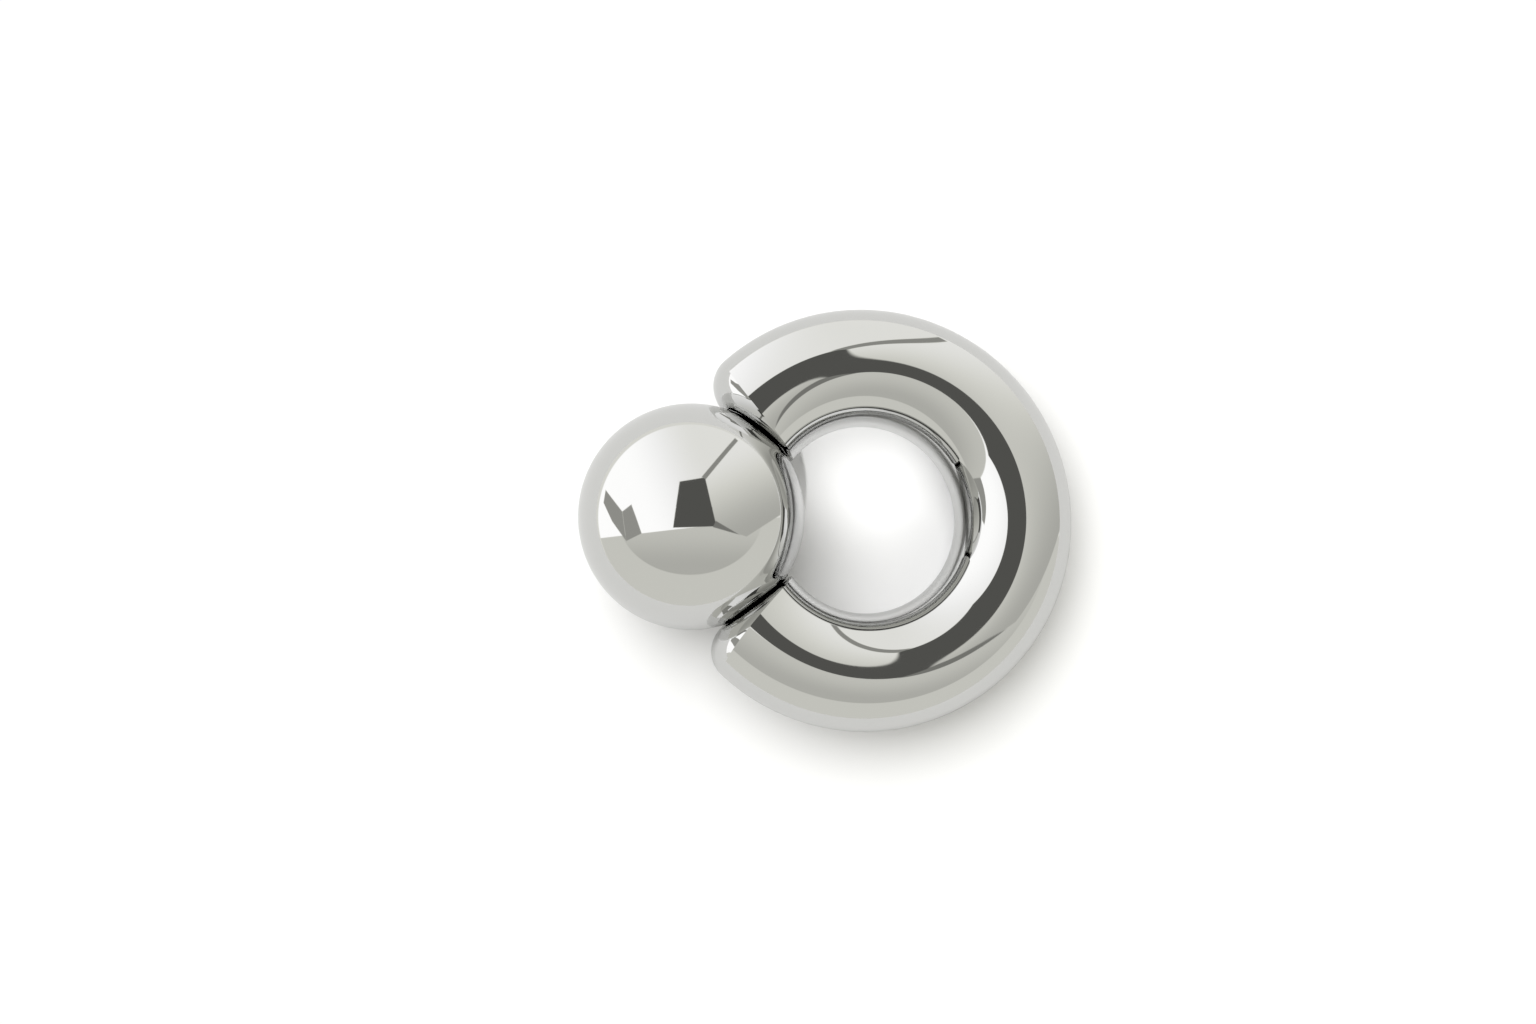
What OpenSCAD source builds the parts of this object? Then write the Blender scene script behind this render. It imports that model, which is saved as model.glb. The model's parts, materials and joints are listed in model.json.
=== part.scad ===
// Open metal ring closed by a captive ball. The ball sits in two dished seats on the ring's
// cut ends, and two spring-loaded detents in the ball click into a hole in each seat.
// Units are millimetres. The ring frame has its origin at the ring's centre, the ring's axis
// along Z and the ball towards -X. at_rest() then lays the whole assembly on a flat surface.

/* [Ring] */
// Diameter of the round wire
wire_d = 10; // [9:0.25:11]
// Clear diameter inside the ring
inside_d = 15.9; // [15:0.1:17]
// Half of the angle between the two cut ends, in degrees
gap_half_angle = 37.5; // [36.5:0.25:38]
// Radius of the convex rim turned round each seat, which meets the outside of the wire smoothly
end_round = 2.7; // [2.3:0.1:3]

/* [Closure ball] */
// Diameter of the closure ball
ball_d = 19.05; // [18.8:0.05:19.3]
// Distance from the wire's centre circle out to the ball's centre
ball_offset = 1.86; // [1.7:0.02:2]
// Gap between the ball and its dished seats
seat_gap = 0.05; // [0.03:0.01:0.1]

/* [Detents] */
// Diameter of each bearing ball that works as a detent
detent_d = 4; // [3.5:0.1:4.2]
// Height of the detent above the closure ball's surface
detent_out = 1; // [0.8:0.05:1.1]
// Travel of the detent back into its bore
detent_travel = 1.1; // [0.9:0.05:1.2]
// Radial clearance of the detent in its bore
detent_clearance = 0.05; // [0.03:0.01:0.08]

/* [Spring] */
// Diameter of the spring wire
spring_wire_d = 0.4; // [0.3:0.05:0.45]
// Number of turns, with the two closed end turns
spring_turns = 5; // [4:0.5:6]

/* [Hidden] */
$fn = 96;
LEFT = 1;
RIGHT = -1;

beyond = 1; // how far a cutting tool reaches past the metal it cuts

wire_r = wire_d / 2;
ring_r = inside_d / 2 + wire_r; // centre circle of the wire
ball_r = ball_d / 2;
ball_x = ring_r + ball_offset; // ball's centre from the ring's axis
seat_r = ball_r + seat_gap;
seat_plane = ball_x * sin(gap_half_angle); // ball's centre to the flat face of each cut end
seat_out = ball_x * cos(gap_half_angle); // ring's axis to the middle of each seat

// Lying at rest, the ball and the far side of the ring both touch the surface.
lean = asin((ball_r - wire_r) / (ring_r + ball_x));
rest_z = wire_r + ring_r * sin(lean);
rest_x = ((ball_x - ring_r) * cos(lean) + ball_r - wire_r) / 2;

// Detent bore, measured outwards from the closure ball's centre.
detent_r = detent_d / 2;
bore_r = detent_r + detent_clearance;
detent_at = ball_r + detent_out - detent_r; // centre of the detent at rest
bush_wall = 0.65;
bush_r = bore_r + bush_wall;
bush_length = 3;
bush_from = ball_r - bush_length;
lip_thickness = 0.55;
lip_clearance = 0.07;
lip_r = sqrt(pow(detent_r, 2) - pow(ball_r - detent_at, 2)) + lip_clearance;
spring_to = detent_at - detent_r; // the detent's back at rest
spring_solid = (spring_turns + 1) * spring_wire_d;
spring_spare = 0.2; // travel left before the spring is solid
bore_from = spring_to - detent_travel - spring_solid - spring_spare;

// Spring, drawn as rings of points round its wire.
spring_clearance = 0.25; // between the coil and its bore
spring_r = bore_r - spring_wire_d / 2 - spring_clearance; // centre circle of the coil
flat_turns = 0.75; // at each end of the coil
spring_steps = 24; // rings in each turn
spring_sides = 10; // points in each ring
end_turn_rise = 0.1; // rise of every turn, so that the flat end turns don't run into themselves

// Hole in each seat, which takes the detent: a little wider than the detent where it passes
// through the seat's surface.
catch_mouth = (pow(seat_r, 2) - pow(detent_r, 2) + pow(detent_at, 2)) / (2 * detent_at);
catch_r = sqrt(pow(seat_r, 2) - pow(catch_mouth, 2)) + seat_gap;
catch_depth = 1.7;
drill_point_angle = 118;

// Lays the assembly on a flat surface, centred over the origin.
module at_rest() {
  translate([rest_x, 0, rest_z])
    rotate([0, lean, 0])
      children();
}

// Puts its children's Z axis on the line from the ball's centre to the seat on one side.
module on_detent_axis(side) {
  translate([-ball_x, 0, 0])
    rotate([0, 0, side * (90 - gap_half_angle)])
      rotate([0, 90, 0])
        children();
}

// What the convex rim takes off a cut end. Its round is tangent to the ring's outer circle.
module end_rounding() {
  outer_r = ring_r + wire_r;
  flat_r = sqrt(pow(outer_r, 2) - 2 * outer_r * end_round) - seat_out;
  tangent_depth = outer_r * sin(atan(end_round / (flat_r + seat_out)));
  translate([0, 0, seat_plane])
    rotate_extrude()
      difference() {
        translate([flat_r, -beyond / 2])
          square([end_round + beyond, tangent_depth + beyond / 2]);
        translate([flat_r, end_round])
          circle(r = end_round);
      }
}

module bent_wire() {
  difference() {
    rotate([0, 0, 180 + gap_half_angle])
      rotate_extrude(angle = 360 - 2 * gap_half_angle)
        translate([ring_r, 0])
          circle(r = wire_r);
    for (side = [LEFT, RIGHT])
      on_detent_axis(side)
        end_rounding();
  }
}

module catch_hole() {
  drill_point = catch_r / tan(drill_point_angle / 2);
  translate([0, 0, seat_r - beyond])
    cylinder(r = catch_r, h = catch_depth + beyond);
  translate([0, 0, seat_r + catch_depth])
    cylinder(r1 = catch_r, r2 = 0, h = drill_point);
}

module open_ring() {
  color("silver")
    difference() {
      bent_wire();
      translate([-ball_x, 0, 0])
        sphere(r = seat_r);
      for (side = [LEFT, RIGHT])
        on_detent_axis(side)
          catch_hole();
    }
}

module closure_ball() {
  color("gainsboro")
    difference() {
      translate([-ball_x, 0, 0])
        sphere(r = ball_r);
      for (side = [LEFT, RIGHT])
        on_detent_axis(side) {
          translate([0, 0, bore_from])
            cylinder(r = bore_r, h = ball_r);
          translate([0, 0, bush_from])
            cylinder(r = bush_r, h = ball_r);
        }
    }
}

// Pressed into the mouth of the bore, with a tapered lip that keeps the detent in.
module retaining_bush(side) {
  color("lightsteelblue")
    intersection() {
      on_detent_axis(side)
        difference() {
          translate([0, 0, bush_from])
            cylinder(r = bush_r, h = bush_length + beyond);
          translate([0, 0, bush_from - beyond])
            cylinder(r = bore_r, h = bush_length - lip_thickness + beyond);
          translate([0, 0, ball_r - lip_thickness])
            cylinder(r1 = bore_r, r2 = lip_r, h = lip_thickness);
          translate([0, 0, ball_r])
            cylinder(r = lip_r, h = beyond);
        }
      translate([-ball_x, 0, 0])
        sphere(r = ball_r);
    }
}

module detent_ball(side) {
  color("white")
    on_detent_axis(side)
      translate([0, 0, detent_at])
        sphere(r = detent_r);
}

// Share of the spring's rise reached after a number of turns; its end turns lie flat.
function coil_rise(turns) = min(max((turns - flat_turns) / (spring_turns - 2 * flat_turns), 0), 1);

// One ring of points round the spring's wire, after a number of turns.
function wire_section(turns, rise) = [
  for (k = [0 : spring_sides - 1])
    let (
      around = 360 * k / spring_sides,
      out = spring_r + spring_wire_d / 2 * cos(around),
      up = spring_wire_d / 2 * (1 + sin(around)) + end_turn_rise * turns
    )
    [out * cos(360 * turns), out * sin(360 * turns), up + rise * coil_rise(turns)]
];

// Compression spring, standing on Z = 0.
module coil_spring(length) {
  last = round(spring_turns * spring_steps);
  rise = length - spring_wire_d - end_turn_rise * spring_turns;
  sections = [for (i = [0 : last]) wire_section(i / spring_steps, rise)];
  points = [for (section = sections) each section];
  polyhedron(
    points = points,
    faces = [
      [for (k = [0 : spring_sides - 1]) k],
      [for (k = [spring_sides - 1 : -1 : 0]) last * spring_sides + k],
      for (i = [0 : last - 1])
        for (k = [0 : spring_sides - 1])
          let (low = i * spring_sides, beside = (k + 1) % spring_sides)
            [low + k, low + spring_sides + k, low + spring_sides + beside, low + beside]
    ],
    convexity = 12
  );
}

module detent_spring(side) {
  color("dimgray")
    on_detent_axis(side)
      translate([0, 0, bore_from])
        coil_spring(spring_to - bore_from);
}

at_rest() open_ring();
at_rest() closure_ball();
at_rest() retaining_bush(LEFT);  // retaining_bush_left
at_rest() retaining_bush(RIGHT);  // retaining_bush_right
at_rest() detent_ball(LEFT);  // detent_ball_left
at_rest() detent_ball(RIGHT);  // detent_ball_right
at_rest() detent_spring(LEFT);  // detent_spring_left
at_rest() detent_spring(RIGHT);  // detent_spring_right
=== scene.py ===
"""An open steel ring closed by a captive ball, lying in a white light tent.

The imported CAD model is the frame. Each shape here is a finer version of one CAD node, in the
same place, worked out from the record and from the nodes' boxes. Shapes are drawn in the
ring's own frame (origin at its centre, axis along Z, ball towards -X), in metres, and then
laid down with RING_TO_ROW.
"""
import json
import math

import bmesh
import bpy
from mathutils import Matrix, Vector


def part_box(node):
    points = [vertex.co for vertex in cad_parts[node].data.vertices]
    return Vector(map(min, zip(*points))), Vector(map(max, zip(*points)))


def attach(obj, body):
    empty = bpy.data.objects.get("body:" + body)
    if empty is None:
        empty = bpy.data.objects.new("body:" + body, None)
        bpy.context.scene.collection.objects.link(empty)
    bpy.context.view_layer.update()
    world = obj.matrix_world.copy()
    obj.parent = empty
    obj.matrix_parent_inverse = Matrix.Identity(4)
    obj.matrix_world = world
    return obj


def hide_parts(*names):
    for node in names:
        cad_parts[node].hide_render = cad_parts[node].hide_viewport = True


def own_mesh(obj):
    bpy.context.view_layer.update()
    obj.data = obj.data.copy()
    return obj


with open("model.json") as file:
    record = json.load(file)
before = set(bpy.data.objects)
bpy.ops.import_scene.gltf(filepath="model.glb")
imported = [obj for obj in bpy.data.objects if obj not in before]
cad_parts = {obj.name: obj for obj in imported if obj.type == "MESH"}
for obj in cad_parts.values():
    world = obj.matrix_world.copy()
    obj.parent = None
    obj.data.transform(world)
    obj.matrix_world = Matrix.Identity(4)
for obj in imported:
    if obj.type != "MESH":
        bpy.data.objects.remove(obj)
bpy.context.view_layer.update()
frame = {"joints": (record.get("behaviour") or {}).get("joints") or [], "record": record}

MM = 0.001
LEFT, RIGHT = 1, -1
SIDES = {LEFT: "left", RIGHT: "right"}

# ---------------------------------------------------------------- sizes from the frame

record = frame["record"]
joints = {joint["name"]: joint for joint in frame["joints"]}
ring_inside = record["mounts"][0]

WIRE_R = ring_inside["dims"]["length_mm"] * MM / 2
RING_R = ring_inside["dims"]["r_mm"] * MM + WIRE_R  # centre circle of the wire
RING_CENTRE = Vector(ring_inside["pos_m"])

ring_z = Vector(ring_inside["axis"]).normalized()
ring_x = -Vector(joints["ball_release"]["axis"]).normalized()
ring_y = ring_z.cross(ring_x)
RING_TO_ROW = Matrix.Translation(RING_CENTRE) @ Matrix((ring_x, ring_y, ring_z)).transposed().to_4x4()

ball_low, ball_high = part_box("closure_ball")
BALL_R = (ball_high.z - ball_low.z) / 2
BALL_CENTRE = (ball_low + ball_high) / 2
BALL_X = (RING_CENTRE - BALL_CENTRE).length

# The frame doesn't hold these small sizes, so they repeat the CAD part's own.
SEAT_GAP = 0.05 * MM
RIM_ROUND = 2.7 * MM
CATCH_DEPTH = 1.7 * MM
DRILL_POINT_ANGLE = math.radians(118)
DETENT_CLEARANCE = 0.05 * MM
BUSH_WALL = 0.65 * MM
BUSH_LENGTH = 3 * MM
LIP_THICKNESS = 0.55 * MM
LIP_CLEARANCE = 0.07 * MM
SPRING_WIRE_D = 0.4 * MM
SPRING_CLEARANCE = 0.25 * MM
SPRING_TURNS = 5
FLAT_TURNS = 0.75  # at each end of the coil
END_TURN_RISE = 0.1 * MM  # rise of every turn, so that the flat ones don't run into themselves

detent_low, detent_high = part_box("detent_ball_left")
DETENT_R = (detent_high.z - detent_low.z) / 2
DETENT_AT = ((detent_low + detent_high) / 2 - BALL_CENTRE).length
detent_press = joints["detent_press_left"]
detent_axis = -Vector(detent_press["axis"]).normalized()
SEAT_ANGLE = math.acos(detent_axis.dot(ring_x))  # from the ring's X to the seat's normal
GAP_HALF_ANGLE = math.pi / 2 - SEAT_ANGLE

# Cut ends: a flat face, a dished seat in it and a convex rim turned round the seat
OUTER_R = RING_R + WIRE_R
SEAT_R = BALL_R + SEAT_GAP
SEAT_PLANE = BALL_X * math.sin(GAP_HALF_ANGLE)  # ball's centre to the flat face
SEAT_OUT = BALL_X * math.cos(GAP_HALF_ANGLE)  # ring's axis to the middle of the seat
DISH_R = math.sqrt(SEAT_R**2 - SEAT_PLANE**2)
FLAT_R = math.sqrt(OUTER_R**2 - 2 * OUTER_R * RIM_ROUND) - SEAT_OUT
RIM_SWEEP = math.pi / 2 + math.atan(RIM_ROUND / (FLAT_R + SEAT_OUT))  # to where it meets the ring's outside

# Catch hole in the middle of each seat
CATCH_MOUTH = (SEAT_R**2 - DETENT_R**2 + DETENT_AT**2) / (2 * DETENT_AT)
CATCH_R = math.sqrt(SEAT_R**2 - CATCH_MOUTH**2) + SEAT_GAP
DRILL_POINT = CATCH_R / math.tan(DRILL_POINT_ANGLE / 2)

# Detent bore, measured outwards from the ball's centre
BORE_R = DETENT_R + DETENT_CLEARANCE
BUSH_R = BORE_R + BUSH_WALL
BUSH_FROM = BALL_R - BUSH_LENGTH
LIP_FROM = BALL_R - LIP_THICKNESS
LIP_R = math.sqrt(DETENT_R**2 - (BALL_R - DETENT_AT) ** 2) + LIP_CLEARANCE
SPRING_TO = DETENT_AT - DETENT_R
spring_end_z = detent_press["deforming_nodes"][0]["fixed_end_z_m"]
BORE_FROM = (spring_end_z - BALL_CENTRE.z) / detent_axis.z
SPRING_R = BORE_R - SPRING_WIRE_D / 2 - SPRING_CLEARANCE  # centre circle of the coil

# ---------------------------------------------------------------- meshes

SHARP = math.radians(12)


def add_piece(name, points, faces, material):
    """A smooth-shaded mesh from points in the ring's frame. Edges over SHARP stay crisp."""
    mesh = bmesh.new()
    verts = [mesh.verts.new(RING_TO_ROW @ Vector(point)) for point in points]
    for face in faces:
        mesh.faces.new([verts[i] for i in face])
    bmesh.ops.remove_doubles(mesh, verts=mesh.verts, dist=1e-7)
    bmesh.ops.recalc_face_normals(mesh, faces=mesh.faces)
    for face in mesh.faces:
        face.smooth = True
    for edge in mesh.edges:
        edge.smooth = edge.calc_face_angle(0) < SHARP
    data = bpy.data.meshes.new(name)
    mesh.to_mesh(data)
    mesh.free()
    data.materials.append(material)
    piece = bpy.data.objects.new(name, data)
    bpy.context.scene.collection.objects.link(piece)
    return piece


def grid_faces(rows, columns, first=0, closed=True):
    """Quads between rows of points that go once round, numbered row by row."""
    return [
        (
            first + row * columns + i,
            first + row * columns + (i + 1) % columns,
            first + (row + 1) * columns + (i + 1) % columns,
            first + (row + 1) * columns + i,
        )
        for row in range(rows - 1)
        for i in range(columns if closed else columns - 1)
    ]


def steps(start, end, count):
    """count values from just after start up to end."""
    return [start + (end - start) * (i + 1) / count for i in range(count)]


def seat_frame(side):
    """The seat's normal away from the ball's centre, and two directions across it."""
    normal = Vector((math.cos(SEAT_ANGLE), side * math.sin(SEAT_ANGLE), 0))
    across = Vector((-math.sin(SEAT_ANGLE), side * math.cos(SEAT_ANGLE), 0))  # away from the ring's axis
    return normal, across, Vector((0, 0, 1))


def on_seat_axis(side, radius, height, angle):
    """A point round the seat's normal, at a height from the ball's centre."""
    normal, across, up = seat_frame(side)
    out = across * math.cos(angle) + up * math.sin(angle)
    return Vector((-BALL_X, 0, 0)) + normal * height + out * radius


def lathe(name, side, profile, material, columns=192):
    """A closed (radius, height) profile turned about a seat's normal."""
    points = [
        on_seat_axis(side, radius, height, 2 * math.pi * i / columns)
        for radius, height in profile + profile[:1]
        for i in range(columns)
    ]
    faces = grid_faces(len(profile) + 1, columns)
    return add_piece(name, points, faces, material)


# ---------------------------------------------------------------- open ring

AROUND_WIRE = 208
ALONG_WIRE = 372


def on_rim(sweep):
    """(distance from the seat's centre, depth below the flat face) along the rim's round."""
    return FLAT_R + RIM_ROUND * math.sin(sweep), RIM_ROUND * (1 - math.cos(sweep))


def wire_from_seat(angle, depth):
    """A point of the wire's side below the flat face: (out from the seat's centre, up)."""
    radius = RING_R + WIRE_R * math.cos(angle)
    return math.sqrt(radius**2 - depth**2) - SEAT_OUT, WIRE_R * math.sin(angle)


def rim_edge(angle):
    """How far round the rim's section it meets the wire's side."""
    low, high = 0.0, RIM_SWEEP
    for _ in range(40):
        middle = (low + high) / 2
        distance, depth = on_rim(middle)
        if distance < math.hypot(*wire_from_seat(angle, depth)):
            low = middle
        else:
            high = middle
    return low


def end_rows(angle):
    """(distance from the seat's centre, depth) from the wire's side in to the catch hole's point."""
    edge = rim_edge(angle)
    rows = [on_rim(sweep) for sweep in [edge] + steps(edge, 0, 20)]
    for distance in [DISH_R] + steps(DISH_R, CATCH_R, 14):
        rows.append((distance, math.sqrt(SEAT_R**2 - distance**2) - SEAT_PLANE))
    hole_bottom = SEAT_R + CATCH_DEPTH - SEAT_PLANE
    rows += [(CATCH_R, depth) for depth in steps(rows[-1][1], hole_bottom, 4)]
    rows += [(CATCH_R * (1 - share), hole_bottom + DRILL_POINT * share) for share in steps(0, 1, 4)]
    return rows


def open_ring(material):
    """The wire's side, swept from one rim to the other, and then the two ends."""
    angles = [2 * math.pi * i / AROUND_WIRE for i in range(AROUND_WIRE)]
    sides = []
    for angle in angles:
        radius = RING_R + WIRE_R * math.cos(angle)
        depth = on_rim(rim_edge(angle))[1]
        end = math.pi - GAP_HALF_ANGLE - math.asin(depth / radius)
        sides.append((radius, WIRE_R * math.sin(angle), end))
    points = []
    for j in range(ALONG_WIRE + 1):
        for radius, up, end in sides:
            turn = end * (2 * j / ALONG_WIRE - 1)
            points.append((radius * math.cos(turn), radius * math.sin(turn), up))
    faces = grid_faces(ALONG_WIRE + 1, AROUND_WIRE)
    ends = [end_rows(angle) for angle in angles]
    bearings = []
    for angle in angles:
        out, up = wire_from_seat(angle, on_rim(rim_edge(angle))[1])
        bearings.append(math.atan2(up, out))
    for side in (RIGHT, LEFT):
        first = len(points)
        for row in range(len(ends[0])):
            for rows, bearing in zip(ends, bearings):
                distance, depth = rows[row]
                points.append(on_seat_axis(side, distance, SEAT_PLANE + depth, bearing))
        faces += grid_faces(len(ends[0]), AROUND_WIRE, first)
    ring = add_piece("polished_ring", points, faces, material)
    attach(ring, "ring")
    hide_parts("open_ring")


# ---------------------------------------------------------------- closure ball and its detents

AROUND_BORE = 288
BALL_ROWS = 120  # on each half ball, from the bush's mouth to where the halves meet


def closure_ball(material):
    """Two half balls that meet on the ring's XZ plane, each drawn round its own bore."""
    mouth = math.asin(BUSH_R / BALL_R)
    points, faces = [], []
    for side in (LEFT, RIGHT):
        first = len(points)
        rows = []
        for row in range(BALL_ROWS + 1):
            for i in range(AROUND_BORE):
                angle = 2 * math.pi * i / AROUND_BORE
                seam = math.atan2(math.sin(SEAT_ANGLE), -math.cos(SEAT_ANGLE) * math.cos(angle))
                polar = seam + (mouth - seam) * row / BALL_ROWS
                rows.append((BALL_R * math.sin(polar), BALL_R * math.cos(polar), angle))
        bore = ((BUSH_R, BUSH_FROM), (BORE_R, BUSH_FROM), (BORE_R, BORE_FROM), (0, BORE_FROM))
        for radius, height in bore:
            rows += [(radius, height, 2 * math.pi * i / AROUND_BORE) for i in range(AROUND_BORE)]
        points += [on_seat_axis(side, *row) for row in rows]
        faces += grid_faces(BALL_ROWS + 1 + len(bore), AROUND_BORE, first)
    ball = add_piece("polished_ball", points, faces, material)
    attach(ball, "ball")
    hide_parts("closure_ball")


def retaining_bush(side, material):
    """Flush with the ball, with a fine bevel round its pressed joint and its mouth."""
    bevel = 0.06 * MM
    lip_top = math.sqrt(BALL_R**2 - LIP_R**2)
    lip_slope = (BORE_R - LIP_R) / (BALL_R - LIP_FROM)
    mouth_r = BORE_R - lip_slope * (lip_top - LIP_FROM)
    face = [
        (radius, math.sqrt(BALL_R**2 - radius**2))
        for radius in [BUSH_R - bevel] + steps(BUSH_R - bevel, mouth_r + bevel, 8)
    ]
    profile = [(BORE_R, BUSH_FROM), (BUSH_R - bevel, BUSH_FROM), (BUSH_R, BUSH_FROM + bevel)]
    profile += [(BUSH_R, math.sqrt(BALL_R**2 - BUSH_R**2) - bevel)] + face
    profile += [(mouth_r, lip_top - bevel), (BORE_R, LIP_FROM)]
    name = SIDES[side]
    bush = lathe("bush_" + name, side, profile, material)
    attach(bush, "ball")
    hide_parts("retaining_bush_" + name)


def detent_ball(side, material):
    rows, columns = 64, 96
    points = []
    for row in range(rows + 1):
        polar = math.pi * row / rows
        radius, height = DETENT_R * math.sin(polar), DETENT_AT - DETENT_R * math.cos(polar)
        points += [on_seat_axis(side, radius, height, 2 * math.pi * i / columns) for i in range(columns)]
    faces = grid_faces(rows + 1, columns)
    name = SIDES[side]
    detent = add_piece("bearing_" + name, points, faces, material)
    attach(detent, "detent_" + name)
    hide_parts("detent_ball_" + name)


def detent_spring(side, material):
    """A helix with its end turns laid flat, from the bore's floor to the detent."""
    per_turn, sides = 72, 20
    length = SPRING_TO - BORE_FROM
    rise = length - SPRING_WIRE_D - END_TURN_RISE * SPRING_TURNS
    count = SPRING_TURNS * per_turn
    points = []
    for step in range(count + 1):
        turns = step / per_turn
        share = min(max((turns - FLAT_TURNS) / (SPRING_TURNS - 2 * FLAT_TURNS), 0), 1)
        base = BORE_FROM + SPRING_WIRE_D / 2 + END_TURN_RISE * turns + rise * share
        for k in range(sides):
            around = 2 * math.pi * k / sides
            radius = SPRING_R + SPRING_WIRE_D / 2 * math.cos(around)
            height = base + SPRING_WIRE_D / 2 * math.sin(around)
            points.append(on_seat_axis(side, radius, height, 2 * math.pi * turns))
    faces = grid_faces(count + 1, sides)
    faces += [tuple(range(sides)), tuple(count * sides + k for k in range(sides))]
    name = SIDES[side]
    spring = add_piece("spring_" + name, points, faces, material)
    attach(spring, "ball")
    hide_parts("detent_spring_" + name)
    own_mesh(spring)


# ---------------------------------------------------------------- metals


def metal(name, color, roughness, spread, grain, relief):
    """Bare metal whose polish varies a little. grain is per metre and relief is in metres."""
    material = bpy.data.materials.new(name)
    material.use_nodes = True
    nodes, links = material.node_tree.nodes, material.node_tree.links
    shader = nodes["Principled BSDF"]
    shader.inputs["Base Color"].default_value = (*color, 1)
    shader.inputs["Metallic"].default_value = 1
    place = nodes.new("ShaderNodeTexCoord")
    noise = nodes.new("ShaderNodeTexNoise")
    noise.inputs["Scale"].default_value = grain
    noise.inputs["Detail"].default_value = 3
    polish = nodes.new("ShaderNodeMapRange")
    polish.inputs["From Min"].default_value = 0.3
    polish.inputs["From Max"].default_value = 0.7
    polish.inputs["To Min"].default_value = roughness
    polish.inputs["To Max"].default_value = roughness + spread
    bump = nodes.new("ShaderNodeBump")
    bump.inputs["Strength"].default_value = 1
    bump.inputs["Distance"].default_value = relief
    links.new(place.outputs["Object"], noise.inputs["Vector"])
    links.new(noise.outputs["Fac"], polish.inputs["Value"])
    links.new(polish.outputs["Result"], shader.inputs["Roughness"])
    links.new(noise.outputs["Fac"], bump.inputs["Height"])
    links.new(bump.outputs["Normal"], shader.inputs["Normal"])
    return material


# ---------------------------------------------------------------- light tent

# The camera's direction from the object, and the picture's right and up
VIEW_ELEVATION = math.radians(85.5)
VIEW_AZIMUTH = math.radians(0.37)
BACK = Vector(
    (
        math.cos(VIEW_ELEVATION) * math.sin(VIEW_AZIMUTH),
        -math.cos(VIEW_ELEVATION) * math.cos(VIEW_AZIMUTH),
        math.sin(VIEW_ELEVATION),
    )
)
PICTURE_RIGHT = Vector((math.cos(VIEW_AZIMUTH), math.sin(VIEW_AZIMUTH), 0))
PICTURE_UP = BACK.cross(PICTURE_RIGHT)


class Maths:
    """Short calls for the world's maths nodes."""

    def __init__(self, tree):
        self.nodes, self.links = tree.nodes, tree.links

    def put(self, value, socket):
        if hasattr(value, "links"):
            self.links.new(value, socket)
        else:
            socket.default_value = value

    def maths(self, operation, a, b=0.0, c=0.0):
        node = self.nodes.new("ShaderNodeMath")
        node.operation = operation
        for value, socket in zip((a, b, c), node.inputs):
            self.put(value, socket)
        return node.outputs[0]

    def vector(self, operation, a, b=(0, 0, 0)):
        node = self.nodes.new("ShaderNodeVectorMath")
        node.operation = operation
        self.put(a, node.inputs[0])
        self.put(b, node.inputs[1])
        return node.outputs["Value" if operation == "DOT_PRODUCT" else "Vector"]

    def plus(self, a, b):
        return self.maths("ADD", a, b)

    def times(self, a, b):
        return self.maths("MULTIPLY", a, b)

    def length(self, a, b):
        """The length of the flat vector (a, b)."""
        return self.maths("SQRT", self.plus(self.times(a, a), self.times(b, b)))

    def ramp(self, value, low, high, start=0.0, end=1.0):
        """start where the value is low, end where it is high, smooth between them."""
        node = self.nodes.new("ShaderNodeMapRange")
        node.interpolation_type = "SMOOTHSTEP"
        names = ("Value", "From Min", "From Max", "To Min", "To Max")
        for name, number in zip(names, (value, low, high, start, end)):
            self.put(number, node.inputs[name])
        return node.outputs["Result"]

    def mix(self, mask, a, b):
        """a where the mask is 0, b where it is 1."""
        return self.plus(self.times(a, self.maths("SUBTRACT", 1.0, mask)), self.times(b, mask))


# Places in the tent are given as a polished ball shows them to the camera: the ball's centre
# is (0, 0) and its edge has radius 1. Corners go anticlockwise. Tones are brightnesses.
EDGE = 0.008  # width over which one place gives way to the next
FRONT_PANEL = [(-2.0, -0.324), (-2.0, -2.0), (2.0, -2.0), (2.0, 0.132)]
SHADE_HALF_WIDTH = 0.62  # of the oval shaded part of the front panel
SHADE_HALF_HEIGHT = 0.5
FRONT_TONE = 0.81  # of the front panel round that oval
RIGHT_PANEL = [(0.232, -0.083), (0.49, -0.175), (0.95, 0.12), (0.95, 1.4), (0.13, 0.342)]
DOOR_GAP = [(-0.757, 0.12), (-0.68, -0.04), (-0.556, -0.21), (-0.59, 0.044), (-0.74, 0.23)]
DOOR_FLAP = [(-0.556, -0.21), (-0.42, -0.144), (-0.47, 0.0), (-0.51, 0.106), (-0.59, 0.044)]
CAMERA_OPENING = [(-0.145, -0.095), (0.232, -0.083), (0.13, 0.342), (-0.09, 0.305)]
ROOF_SEAM = [(0.1, 0.345), (0.136, 0.325), (0.408, 0.668), (0.38, 0.692)]
FRONT_SEAM = [(0.2, -0.09), (0.43, -0.158), (0.225, -0.035)]
DARK_PLACES = (
    (DOOR_GAP, 0.4),
    (DOOR_FLAP, 0.4),
    (CAMERA_OPENING, 0.115),
    (ROOF_SEAM, 0.35),
    (FRONT_SEAM, 0.25),
)
TABLE_EDGE = 0.8
TABLE_TONE = 0.97
BACKDROP_TONE = 1.05

# A ramp's low and high places, and its tones there
ROOF_RAMP = (-0.4, 0.35, 1.48, 1.08)  # along u + ROOF_SLANT * v
ROOF_SLANT = 0.4
SHADE_RAMP = (-0.43, -0.1, 0.6, 0.76)  # up the oval
RIGHT_RAMP = (-0.4, 0.45, 0.57, 1.13)  # along v + RIGHT_SLANT * u
RIGHT_SLANT = -0.5
WARMTH_RAMP = (0.85, 1.35, 0.93, 1.0)  # blue in the light, by its tone: the shaded panels are warmer

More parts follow.
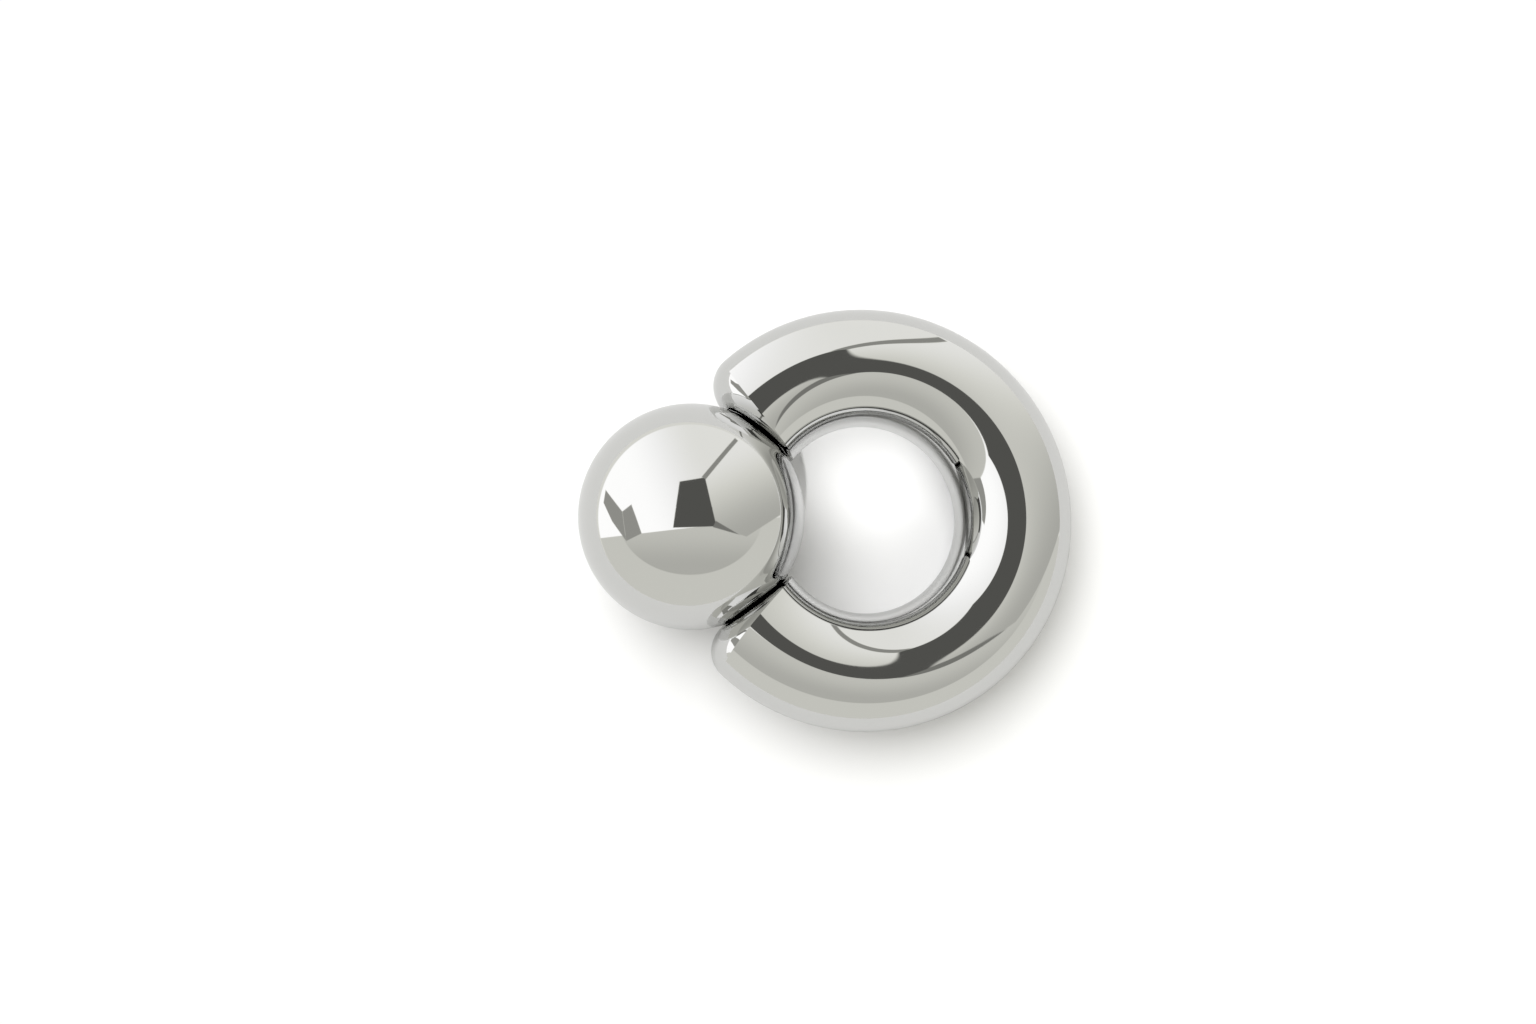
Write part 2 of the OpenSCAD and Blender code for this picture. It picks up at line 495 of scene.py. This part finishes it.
TABLE_WHITE = 0.9
# painted shade: the table's white as metal reflects it, darker than its real white
TABLE_WHITE_PAINTED_SHADE_IN_METAL = 0.67


def light_tent():
    """A world that metal shows as a white tent's panels, and that is plain white to the camera."""
    world = bpy.data.worlds.new("light_tent")
    bpy.context.scene.world = world
    world.use_nodes = True
    tree = world.node_tree
    m = Maths(tree)
    direction = tree.nodes.new("ShaderNodeTexCoord").outputs["Generated"]
    half = m.vector("NORMALIZE", m.vector("ADD", m.vector("NORMALIZE", direction), tuple(BACK)))
    u = m.vector("DOT_PRODUCT", half, tuple(PICTURE_RIGHT))
    v = m.vector("DOT_PRODUCT", half, tuple(PICTURE_UP))

    def inside(corners):
        mask = 1.0
        for (u0, v0), (u1, v1) in zip(corners, corners[1:] + corners[:1]):
            length = math.hypot(u1 - u0, v1 - v0)
            across_u, across_v = -(v1 - v0) / length, (u1 - u0) / length
            distance = m.plus(m.times(u, across_u), m.times(v, across_v))
            start = u0 * across_u + v0 * across_v
            side = m.ramp(distance, start - EDGE / 2, start + EDGE / 2)
            mask = side if mask == 1.0 else m.maths("MINIMUM", mask, side)
        return mask

    light = m.ramp(m.plus(u, m.times(v, ROOF_SLANT)), *ROOF_RAMP)
    shaded = m.ramp(v, *SHADE_RAMP)
    from_shade = m.length(m.times(u, 1 / SHADE_HALF_WIDTH), m.times(v, 1 / SHADE_HALF_HEIGHT))
    light = m.mix(inside(FRONT_PANEL), light, m.mix(m.ramp(from_shade, 1.0, 1.02), shaded, FRONT_TONE))
    right = m.ramp(m.plus(v, m.times(u, RIGHT_SLANT)), *RIGHT_RAMP)
    light = m.mix(inside(RIGHT_PANEL), light, right)
    for corners, tone in DARK_PLACES:
        light = m.mix(inside(corners), light, tone)
    light = m.mix(m.ramp(m.length(u, v), TABLE_EDGE, TABLE_EDGE + 0.01), light, TABLE_TONE)
    seen = tree.nodes.new("ShaderNodeLightPath").outputs["Is Camera Ray"]
    strength = m.mix(seen, light, BACKDROP_TONE)
    background = tree.nodes["Background"]
    tint = tree.nodes.new("ShaderNodeCombineColor")
    warmth = m.ramp(light, *WARMTH_RAMP)
    for value, socket in zip((1.0, 0.996, m.mix(seen, warmth, 1.0)), tint.inputs):
        m.put(value, socket)
    m.put(tint.outputs["Color"], background.inputs["Color"])
    m.put(strength, background.inputs["Strength"])


def table_top():
    """A round white table top under every pose. Where metal reflects it, its white is painted darker than
    the camera sees it: painted shade in the reflections.
    """
    bpy.ops.mesh.primitive_circle_add(vertices=128, radius=60 * MM, fill_type="NGON", location=(0, 0, 0))
    table = bpy.context.object
    table.name = "table_top"
    material = bpy.data.materials.new("white_acrylic")
    material.use_nodes = True
    shader = material.node_tree.nodes["Principled BSDF"]
    m = Maths(material.node_tree)
    # painted shade: glossy rays see a darker table white than camera rays do
    reflected = m.nodes.new("ShaderNodeLightPath").outputs["Is Glossy Ray"]
    m.put(m.mix(reflected, TABLE_WHITE, TABLE_WHITE_PAINTED_SHADE_IN_METAL), shader.inputs["Base Color"])
    shader.inputs["Roughness"].default_value = 0.8
    shader.inputs["Specular IOR Level"].default_value = 0.2
    table.data.materials.append(material)


def soft_sun():
    """Lights the table from above, a little from -X and +Y. Metal shows the tent, not this lamp."""
    light = bpy.data.lights.new("soft_sun", "SUN")
    light.energy = 1.8
    light.angle = math.radians(44)
    lamp = bpy.data.objects.new("soft_sun", light)
    bpy.context.scene.collection.objects.link(lamp)
    towards_light = Vector((-0.22, 0.28, 1.0))
    lamp.rotation_mode = "QUATERNION"
    lamp.rotation_quaternion = towards_light.to_track_quat("Z", "Y")
    lamp.visible_glossy = False


def hole_lamp():
    """Lights the table inside the ring, on its +Y side. Metal doesn't show this lamp either."""
    light = bpy.data.lights.new("hole_lamp", "SPOT")
    light.energy = 1
    light.shadow_soft_size = 3 * MM
    light.spot_size = math.radians(5.2)
    light.spot_blend = 1
    lamp = bpy.data.objects.new("hole_lamp", light)
    bpy.context.scene.collection.objects.link(lamp)
    towards_light = Vector((-0.05, -0.35, 1.0)).normalized()
    lit_place = Vector((RING_CENTRE.x, 0.55 * RING_R, 0))
    lamp.location = lit_place + towards_light * 200 * MM
    lamp.rotation_mode = "QUATERNION"
    lamp.rotation_quaternion = towards_light.to_track_quat("Z", "Y")
    lamp.visible_glossy = False


def camera():
    """Almost overhead. The ring's centre lies right of the view's centre and a little below it."""
    distance = 20 * RING_R
    data = bpy.data.cameras.new("camera")
    data.sensor_width = 36
    data.lens = 71.5
    data.clip_start = 0.01
    data.clip_end = 10
    eye = bpy.data.objects.new("camera", data)
    bpy.context.scene.collection.objects.link(eye)
    view_centre = RING_CENTRE - PICTURE_RIGHT * 0.63 * RING_R + PICTURE_UP * 0.052 * RING_R
    eye.location = view_centre + BACK * distance
    eye.rotation_mode = "QUATERNION"
    eye.rotation_quaternion = Matrix((PICTURE_RIGHT, PICTURE_UP, BACK)).transposed().to_quaternion()
    bpy.context.scene.camera = eye


# ---------------------------------------------------------------- build

mirror_steel = metal("mirror_steel", (0.66, 0.662, 0.654), 0.015, 0.03, 260, 1.2e-6)
bearing_steel = metal("bearing_steel", (0.7, 0.7, 0.695), 0.05, 0.04, 500, 1e-6)
turned_steel = metal("turned_steel", (0.58, 0.58, 0.565), 0.22, 0.1, 900, 4e-6)
drawn_wire = metal("drawn_wire", (0.4, 0.4, 0.39), 0.3, 0.12, 1200, 4e-6)

open_ring(mirror_steel)
closure_ball(mirror_steel)
for side in (LEFT, RIGHT):
    retaining_bush(side, turned_steel)
    detent_ball(side, bearing_steel)
    detent_spring(side, drawn_wire)

light_tent()
table_top()
soft_sun()
hole_lamp()
camera()
bpy.context.scene.view_settings.view_transform = "Standard"
